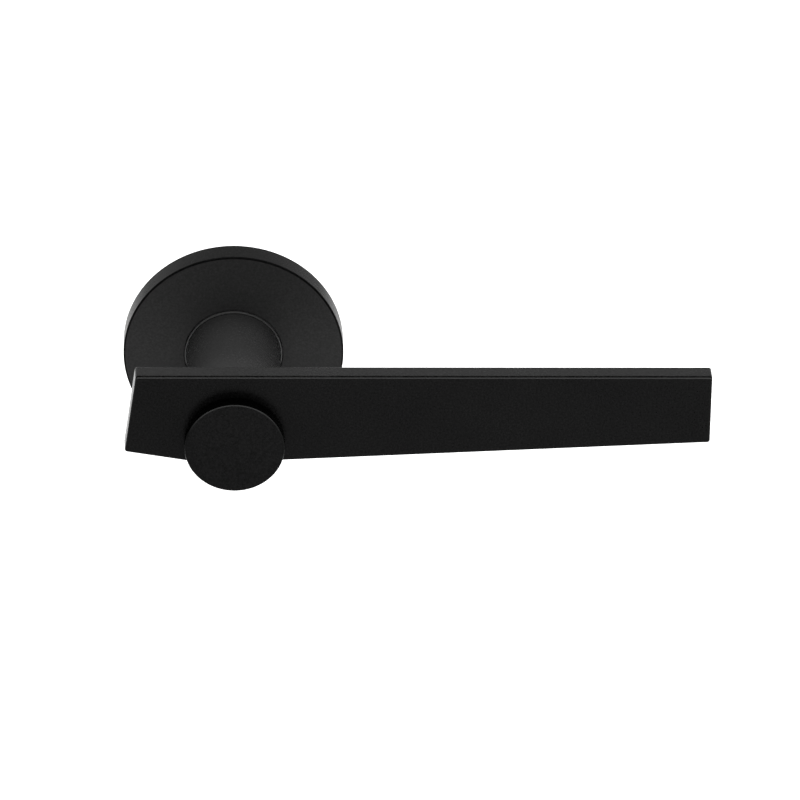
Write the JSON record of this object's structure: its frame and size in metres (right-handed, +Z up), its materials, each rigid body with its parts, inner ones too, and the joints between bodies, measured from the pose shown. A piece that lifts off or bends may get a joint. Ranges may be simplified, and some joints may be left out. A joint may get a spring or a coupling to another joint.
{
  "type": "lever handle on round rose",
  "caption": "Flat satin black lever handle on a slim round rose: sprung return, square spindle, hidden clip-on cover and bolt-through lugs",
  "frame": {"origin": "the lever's turning axis where it meets the door face", "axes": "+Y goes into the door along the turning axis, +X runs along the grip from the neck to its free end, +Z is up"},
  "size_m": [0.1399, 0.0852, 0.053],
  "materials": {
    "black_coat": "satin black powder coat with a fine grain",
    "black_nylon": "moulded, lightly textured",
    "white_nylon": "moulded natural nylon",
    "zinc_plated_steel": "bright zinc plate on pressed steel",
    "spring_steel": "oiled spring steel",
    "hardened_steel": "ground steel pin",
    "black_oxide": "black oxide on a machine screw"
  },
  "bodies": {
    "rose": {"rose_cover": "black_coat", "neck_guide_ring": "black_nylon", "base_plate": "zinc_plated_steel", "fixing_lug_left": "zinc_plated_steel", "fixing_lug_right": "zinc_plated_steel", "bearing_bush": "white_nylon", "spring_cover": "zinc_plated_steel", "cassette_rivets": "zinc_plated_steel", "stop_pins": "hardened_steel", "spring_post": "hardened_steel", "return_spring": "spring_steel", "cover_clips": "spring_steel", "clip_rivets": "zinc_plated_steel"},
    "lever": {"grip_bar": "black_coat", "neck": "black_coat", "front_boss": "black_coat", "clamp_screw": "black_oxide", "clamp_washer": "spring_steel", "locating_pins": "hardened_steel", "grub_screw": "black_oxide", "spindle": "zinc_plated_steel", "spring_driver": "zinc_plated_steel", "thrust_washer": "zinc_plated_steel", "disc_spring": "spring_steel", "retaining_ring": "spring_steel"}
  },
  "joints": [
    {"name": "lever_turn", "type": "hinge", "parent": "rose", "child": "lever", "pos_m": [0, 0, 0], "axis": [0, 1, 0], "range_deg": [0, 45], "stiffness_Nm_per_rad": 0.134, "springref_deg": -40.11, "deforming": ["return_spring"]}
  ]
}
